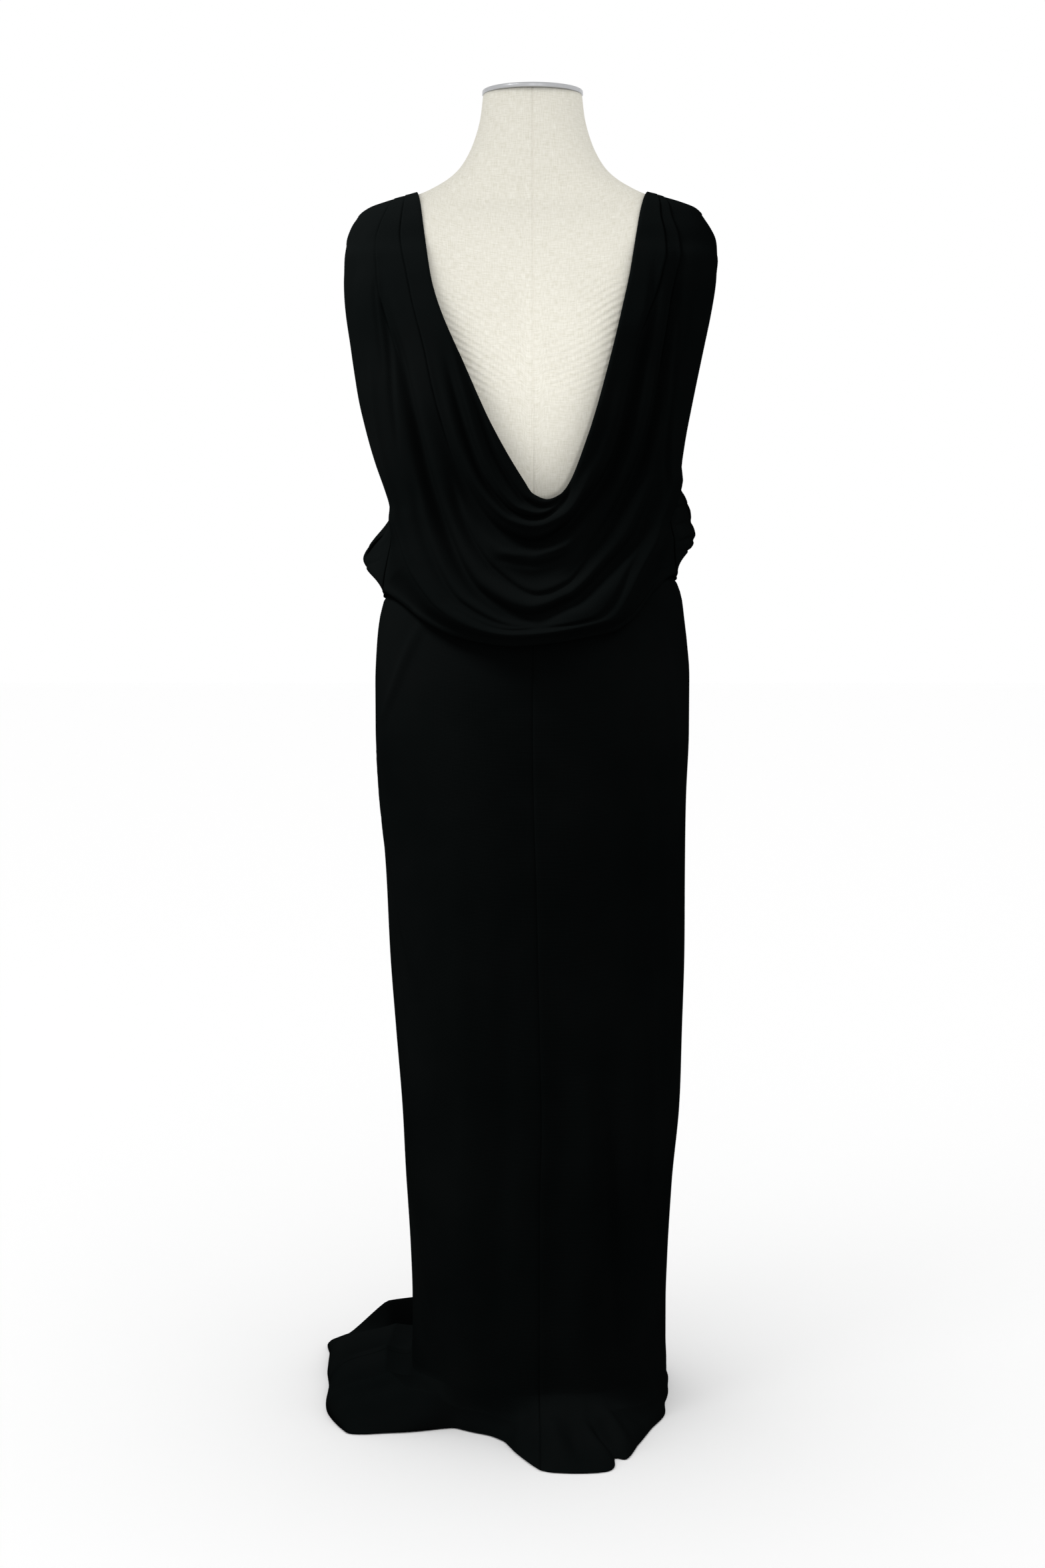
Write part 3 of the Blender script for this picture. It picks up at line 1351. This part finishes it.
    def edge_relief(self, grid: ClothGrid) -> np.ndarray:
        """The turned neck and armhole edges curl in a little, and so do the side seams.

        Args:
            grid: The panel's grid.

        Returns:
            How far each point moves outwards: less than 0, by a hump about the edge.
        """
        arc, away_from_seam = grid.arc, from_shoulder(grid.stations)
        curl = self.edge_curl * smoothstep(away_from_seam, *self.curl_starts)
        kept = 1 - smoothstep(away_from_seam, *self.curl_ends)
        from_edge = np.minimum(arc, arc[-1] - arc)
        outer = np.where(kept > 0, from_edge / np.maximum(kept, 0.01), FAR)
        return -curl * hump(np.where(arc < arc[-1] / 2, arc, outer), self.edge_width)

    def surface(self, stations: np.ndarray, places: np.ndarray) -> np.ndarray:
        """The panel's middle surface.

        The long lines give x and z, with the shoulder seam laid on the ridge. The smooth drape
        gives y, which turns into the edge's own y past the outermost fold. Folds, pleats and
        edges then move the cloth the way that the smooth drape faces, and a front panel's
        flanks towards the back.

        Args:
            stations: The columns' stations.
            places: The rows' places.

        Returns:
            Points, places down and stations across.
        """
        x = self.across(self.x_of, stations, places)
        z = self.across(self.z_of, stations, places)
        lifts = [
            RIDGE(np.abs(self.across(self.x_of, seam, places))) - self.across(self.z_of, seam, places)
            for seam in (np.array([0.0]), np.array([float(LAST_STATION)]))
        ]
        away_from_seam = from_shoulder(stations)
        lift = np.where(stations < LOW_STATION, *lifts)
        z = z + lift * (1 - smoothstep(away_from_seam, *self.seam_ends))
        half = SMOOTH_DRAPE.half(z)
        depth = (SMOOTH_DRAPE.back if self.facing is Facing.BACK else SMOOTH_DRAPE.front)(z)
        smooth = self.facing.value * depth_at(x, half, depth)
        tuck = smoothstep(places, *self.tuck_places)[:, None]
        y = mix(smooth, self.line_curve("edgeY")(stations), tuck)
        grid = ClothGrid(stations, places, arc_lengths(np.stack([x, y, z], -1), 0))
        free = smoothstep(away_from_seam, *self.swell_starts) * (1 - tuck)
        folded = 1 - smoothstep(places, *self.folds_end)[:, None]
        relief = self.swell * free + self.fold_relief(grid) * folded
        relief = relief + self.pleat_relief(grid) + self.edge_relief(grid)
        outwards = face_of(x, smooth, half, depth)
        if self.facing is Facing.FRONT:
            flank = smoothstep(away_from_seam, *self.flank_starts)
            turned_back = flank * (1 - smoothstep(away_from_seam, *self.flank_ends)) * tuck
            outwards = mix(outwards, np.array([0.0, -1.0, 0.0]), turned_back[..., None])
        return outside(np.stack([x, y, z], -1) + outwards * relief[..., None], SKIN, CLEAR_OF_FORM)

    def turned_under(self, stations: np.ndarray, edge: np.ndarray) -> np.ndarray:
        """The roll at the bottom, a part of an ellipse, and the climb to the waist seam.

        Args:
            stations: The columns' stations.
            edge: The panel's last row of points.

        Returns:
            Rows of points past the edge.
        """
        angle = np.arctan2(edge[:, 0], -edge[:, 1])
        reach = np.hypot(edge[:, 0], edge[:, 1])
        turn = np.radians(np.linspace(0, ROLL_TURN, self.roll_rows + 1)[1:])[:, None]
        inward, down = ROLL_INWARD * (1 - np.cos(turn)), ROLL_DOWN * np.sin(turn)
        roll = outside(on_ring(angle, reach - inward, edge[:, 2] - down), SKIRT_BODY, HANGING)
        climbed = np.linspace(0, 1, self.climb_rows + 1)[1:, None]
        to_seam = (stations - LOW_STATION) / 2
        if self.facing is Facing.FRONT:
            angle = np.where(angle < 0, angle + 2 * np.pi, angle)
            to_seam = 1 - to_seam
        at = mix(angle, np.pi * to_seam, climbed)
        z = mix(edge[:, 2] - down[-1], WAIST_Z - UNDER_WAIST, climbed)
        loose = (reach - inward[-1]) * (1 - climbed) ** 3
        seated = SKIRT_BODY.reach(at, z) + mix(HANGING, LYING, climbed**2)
        return np.concatenate([roll, on_ring(at, np.maximum(loose, seated), z)])

    def build(self, jersey: bpy.types.Material) -> bpy.types.Object:
        """Makes and dresses the panel, half a gap away from its neighbour at each seam.

        Args:
            jersey: Its cloth.

        Returns:
            The panel.
        """
        stations = self.stations()
        places = self.places()
        panel = self.surface(stations, places)
        under = self.turned_under(stations, panel[-1])
        shift = self.facing.value * SEAM_GAP / 2
        from_end = from_shoulder(stations)
        panel[:, from_end == 0, 1] = shift
        panel[-1, (from_end >= SIDE_TOP) & (from_end <= SIDE_FOOT), 1] += shift
        under[:, from_end == SIDE_FOOT, 1] += shift
        points = outside(fitted(np.concatenate([panel, under])), SKIN, CLEAR_OF_FORM)
        centre = (stations[1:] + stations[:-1]) / 2
        present = np.ones((len(points) - 1, len(centre)), bool)
        present[len(places) - 1:] = from_shoulder(centre) > SIDE_FOOT
        piece = grid_object(self.name, points, self.facing is Facing.BACK, present)
        thicken(piece)
        seat(piece, jersey, "dress_jersey", self.node)
        return piece


@dataclass
class SkirtPanel:
    """One panel of the skirt between two angles, from the waist seam to the hem."""

    name: str
    node: str
    start: float
    end: float
    flat: tuple[float, float]
    area: float
    columns_per_degree: float = 1.1
    seams: tuple[int, ...] = (0, 90, 270)
    seam_depth: float = 0.9
    seam_width: float = 1.8
    crease_power: float = 0.8
    hanging_rows: int = 120
    floor_rows: int = 56
    floor_spacing: float = 1.25
    lying_height: float = 1.0
    rising_shares: float = 2.5
    wave_height: float = 5.0
    wave_count: int = 13
    wave_turn: float = 0.6
    rolls_from: tuple[float, float] = (95, 140)
    roll_power: float = 0.6
    flap_spread: float = 0.06
    flap_power: float = 0.9

    def swell(self, degrees: np.ndarray, z: np.ndarray) -> np.ndarray:
        """The folds: the squared cosine across each, growing towards the floor.

        Args:
            degrees: Angles from the back's middle.
            z: Heights.

        Returns:
            How far the cloth stands out.
        """
        total = np.zeros(np.broadcast_shapes(degrees.shape, z.shape))
        for row in SKIRT_FOLDS.records():
            away = np.abs(turn_from(row["angle"], degrees))
            inside = away < 2 * row["width"]
            shape = np.where(inside, np.cos(np.pi * away / (4 * row["width"])) ** 2, 0.0)
            grown_by = smoothstep(row["top"] - z, 0, row["top"] - HEM_BREAK_Z)
            total = total + row["swell"] * shape * grown_by
        return total

    def creases(self, degrees: np.ndarray, z: np.ndarray) -> np.ndarray:
        """The creases, a bell across each and a sine along it, and the groove at each seam.

        Args:
            degrees: Angles from the back's middle.
            z: Heights.

        Returns:
            How far the cloth is sunk.
        """
        reach = SKIRT_BODY.reach(np.radians(degrees), z)
        total = np.zeros_like(reach)
        for row in SKIRT_CREASES.records():
            share = (row["top"] - z) / (row["top"] - row["bottom"])
            line = Curve.through(np.linspace(0, 1, 4), [row[f"a{k}"] for k in range(4)])
            turn = turn_from(line(np.clip(share, 0, 1)), degrees)
            shape = bell(np.radians(turn) * reach, row["before"], row["after"])
            along = np.sin(np.pi * np.clip(share, 0, 1)) ** self.crease_power
            total = total + row["depth"] * along * shape
        for seam in self.seams:
            away = np.radians(turn_from(seam, degrees)) * reach
            total = total + self.seam_depth * hump(away, self.seam_width)
        return total

    def hanging(self, degrees: np.ndarray, z: np.ndarray) -> np.ndarray:
        """Points of the hanging skirt's middle surface: its body with folds and creases.

        Args:
            degrees: Angles from the back's middle.
            z: Heights.

        Returns:
            The points.
        """
        angle = np.radians(degrees)
        reach = SKIRT_BODY.reach(angle, z) + self.swell(degrees, z) - self.creases(degrees, z)
        return on_ring(angle, reach, z, SKIRT_MIDDLE(z))

    def floor_relief(self, x: np.ndarray, y: np.ndarray) -> np.ndarray:
        """Ridges and troughs on the floor: a hump across each straight line, a sine along it.

        Args:
            x: Places along X.
            y: Places along Y.

        Returns:
            How far the cloth is raised.
        """
        total = np.zeros_like(x)
        for row in FLOOR_FOLDS.records():
            run = np.array([row["to_x"] - row["x"], row["to_y"] - row["y"]])
            length = np.hypot(*run)
            off_x, off_y = x - row["x"], y - row["y"]
            share = np.clip((off_x * run[0] + off_y * run[1]) / length**2, -PAST_END, 1 + PAST_END)
            away = (off_x * run[1] - off_y * run[0]) / length
            along = np.sin(np.pi * (share + PAST_END) / (1 + 2 * PAST_END)) ** 2
            total += row["height"] * along * hump(away, row["width"])
        return total

    def floor(self, degrees: np.ndarray, share: np.ndarray) -> np.ndarray:
        """The cloth that lies on the floor.

        It spreads from the break to the hem, falls from the break by a cube, bunches up by the
        hem's loft with waves round it, and lies in rolls at the left. The notch and the
        turned-up edge are humps over the angle.

        Args:
            degrees: Angles from the back's middle.
            share: Shares of the way from the break to the hem.

        Returns:
            Points, shares down and angles across.
        """
        angle = np.radians(degrees)
        start = self.hanging(degrees, np.full_like(degrees, HEM_BREAK_Z))
        middle = float(SKIRT_MIDDLE(HEM_BREAK_Z))
        inner = np.hypot(start[..., 0] - middle, start[..., 1])
        notch = NOTCH_DEPTH * hump(degrees - NOTCH_ANGLE, NOTCH_WIDTH)
        hem = HEM.curve("angle", "reach")(degrees) - notch
        flap = smoothstep(degrees, *FLAP[0]) * (1 - smoothstep(degrees, *FLAP[1]))
        turned_up = np.clip((share - FLAP_START) / (1 - FLAP_START), 0, 1)
        folded_share = np.minimum(share, FLAP_START) + self.flap_spread * turned_up
        reach = inner + (hem - inner) * mix(share, folded_share, flap) ** self.floor_spacing
        falling = (HEM_BREAK_Z - self.lying_height) * (1 - share) ** 3
        rising = np.minimum(1, share * self.rising_shares)
        bunched = HEM.curve("angle", "loft")(degrees) * (1 - share**4) * rising
        wave = 1 + np.sin(self.wave_count * angle + self.wave_turn)
        rippled = self.wave_height * wave * share * (1 - share)
        flat = on_ring(angle, reach, 0.0, middle)
        x, y = flat[..., 0], flat[..., 1]
        rolls = LOBE_ROLLS.curve("y", "height")(y) * (1 - share**7) ** self.roll_power * rising
        lift = mix(bunched + rippled, rolls, smoothstep(-x, *self.rolls_from))
        lift = lift + self.floor_relief(x, y) * rising * (1 - share**5)
        lift = lift + FLAP_HEIGHT * turned_up**self.flap_power * flap
        return on_ring(angle, reach, self.lying_height + falling + np.maximum(lift, 0), middle)

    def build(self, jersey: bpy.types.Material) -> bpy.types.Object:
        """Makes and dresses the panel, half a gap away from its neighbour at each seam.

        Args:
            jersey: Its cloth.

        Returns:
            The panel.
        """
        count = round((self.end - self.start) * self.columns_per_degree)
        degrees = np.linspace(self.start, self.end, count + 1)[None, :]
        z = mix(WAIST_Z, HEM_BREAK_Z, np.linspace(0, 1, self.hanging_rows + 1))[:, None]
        share = np.linspace(0, 1, self.floor_rows + 1)[1:, None]
        points = np.concatenate([self.hanging(degrees, z), self.floor(degrees, share)])
        for edge, inner in ((0, 1), (-1, -2)):
            way = points[:, inner] - points[:, edge]
            way /= np.linalg.norm(way, axis=1, keepdims=True)
            points[:, edge] += way * SEAM_GAP / 2
        piece = grid_object(self.name, fitted(points), True)
        thicken(piece)
        seat(piece, jersey, "dress_jersey", self.node)
        return piece


@dataclass
class Dress:
    """The dress: two bodice panels and three skirt panels of one black jersey."""

    def build(self) -> list[bpy.types.Object]:
        """Makes and dresses the five panels.

        Returns:
            The panels.
        """
        jersey = KnittedJersey().make()
        panels = (
            BodicePanel("back_bodice_cloth", "back_bodice", Facing.BACK, BACK_LINES, BACK_FOLDS,
                        BACK_PLEATS, swell=9.0, flat=(0.50, 0.54), area=0.2),
            BodicePanel("front_bodice_cloth", "front_bodice", Facing.FRONT, FRONT_LINES, FRONT_FOLDS,
                        FRONT_PLEATS, swell=8.0, flat=(0.50, 0.58), area=0.27,
                        shoulder_columns=47, side_columns=47),
            SkirtPanel("skirt_back_left_cloth", "skirt_back_left", 270, 360, (0.31, 1.08), 0.23),
            SkirtPanel("skirt_back_right_cloth", "skirt_back_right", 0, 90, (0.27, 1.08), 0.225),
            SkirtPanel("skirt_front_cloth", "skirt_front", 90, 270, (0.60, 1.08), 0.46),
        )
        return [panel.build(jersey) for panel in panels]


# The studio


class Lit(Enum):
    """What a lamp lights."""

    ALL = "everything"
    TORSO = "the linen torso"
    CLOTH = "the black panels"


@dataclass(frozen=True)
class Lamp:
    """A soft light: its place and its width in metres, its power, and a spotlight's beam.

    The beam is in degrees, or 0 for a square soft light.
    """

    name: str
    place: tuple[float, float, float]
    width: float
    watts: float
    lit: Lit = Lit.ALL
    beam: float = 0.0


# The dress is nearly black, so that its folds show only under lamps of their own, and lamps of
# the torso's own rake its linen
LAMPS = (
    Lamp("soft_left", (-2.2, -2.0, 2.3), 1.2, 8),
    Lamp("soft_front", (0.3, -3.2, 1.3), 1.6, 5),
    Lamp("form_above", (-0.8, -1.3, 2.9), 0.5, 2, Lit.TORSO),
    Lamp("form_low", (0.3, -2.7, 0.9), 0.4, 110, Lit.TORSO, 11),
    Lamp("cloth_left", (-1.2, -0.5, 2.5), 0.6, 135, Lit.CLOTH),
    Lamp("cloth_right", (1.9, -0.7, 3.0), 1.0, 60, Lit.CLOTH),
    Lamp("cloth_behind", (0.5, 2.4, 2.9), 1.2, 70, Lit.CLOTH),
)


@dataclass
class Studio:
    """A plain pale floor, soft lights and the camera."""

    camera_place: tuple[float, float, float] = (-0.011, -2.6, 1.0)
    camera_down: float = 6.4
    lens_pixels: float = 3480.0
    picture_height: float = 2352.0
    sensor: float = 36.0
    floor_half: float = 12000.0
    floor_z: float = -0.2
    beam_aim_z: float = 1.15
    soft_aim_z: float = 0.9

    def floor(self) -> None:
        """A large pale sheet of paper."""
        sides = (-self.floor_half, self.floor_half)
        corners = np.array([[[x, y, self.floor_z] for x in sides] for y in sides[::-1]])
        paper = grid_object("studio_floor", corners, True)
        paper.data.materials.append(StudioPaper().make())

    def light(self, lamp: Lamp, pieces: Sequence[bpy.types.Object]) -> None:
        """Adds a lamp that faces the dress.

        Args:
            lamp: The lamp.
            pieces: The pieces that it lights, or none for everything.
        """
        data = bpy.data.lights.new(lamp.name, "SPOT" if lamp.beam else "AREA")
        data.energy = lamp.watts
        if lamp.beam:
            data.spot_size = math.radians(lamp.beam)
            data.spot_blend = 1.0
            data.shadow_soft_size = lamp.width / 2
        else:
            data.shape = "SQUARE"
            data.size = lamp.width
        made = bpy.data.objects.new(lamp.name, data)
        made.location = lamp.place
        aim = Vector((0, 0, self.beam_aim_z if lamp.beam else self.soft_aim_z))
        made.rotation_euler = (aim - Vector(lamp.place)).to_track_quat("-Z", "Y").to_euler()
        bpy.context.scene.collection.objects.link(made)
        if pieces:
            reached = bpy.data.collections.new(f"{lamp.name}_pieces")
            for piece in pieces:
                reached.objects.link(piece)
            made.light_linking.receiver_collection = reached

    def camera(self) -> None:
        """The camera, level to the side and tilted a little down."""
        data = bpy.data.cameras.new("camera")
        data.sensor_width = self.sensor
        data.lens = data.sensor_width * self.lens_pixels / self.picture_height
        data.clip_end = 100.0
        camera = bpy.data.objects.new("camera", data)
        camera.location = self.camera_place
        camera.rotation_euler = (math.radians(90 - self.camera_down), 0, 0)
        bpy.context.scene.collection.objects.link(camera)
        bpy.context.scene.camera = camera

    def build(self, torso: bpy.types.Object, cloth: Sequence[bpy.types.Object]) -> None:
        """Sets up the floor, the camera and the lights.

        Args:
            torso: The linen torso.
            cloth: The black panels.
        """
        self.camera()
        self.floor()
        pieces = {Lit.ALL: (), Lit.TORSO: (torso,), Lit.CLOTH: cloth}
        for lamp in LAMPS:
            self.light(lamp, pieces[lamp.lit])
        world = bpy.data.worlds.new("studio")
        bpy.context.scene.world = world
        world.use_nodes = True
        background = world.node_tree.nodes["Background"]
        background.inputs["Color"].default_value = (1.0, 1.0, 1.0, 1.0)
        background.inputs["Strength"].default_value = 1.0
        bpy.context.scene.view_settings.view_transform = "Standard"


def main() -> None:
    """Builds the form, the dress and the studio, and keeps both sizes."""
    logging.basicConfig(level=logging.INFO, format="%(name)s: %(message)s")
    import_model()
    torso = DressForm().build()
    cloth = Dress().build()
    Studio().build(torso, cloth)


if __name__ == "__main__":
    main()
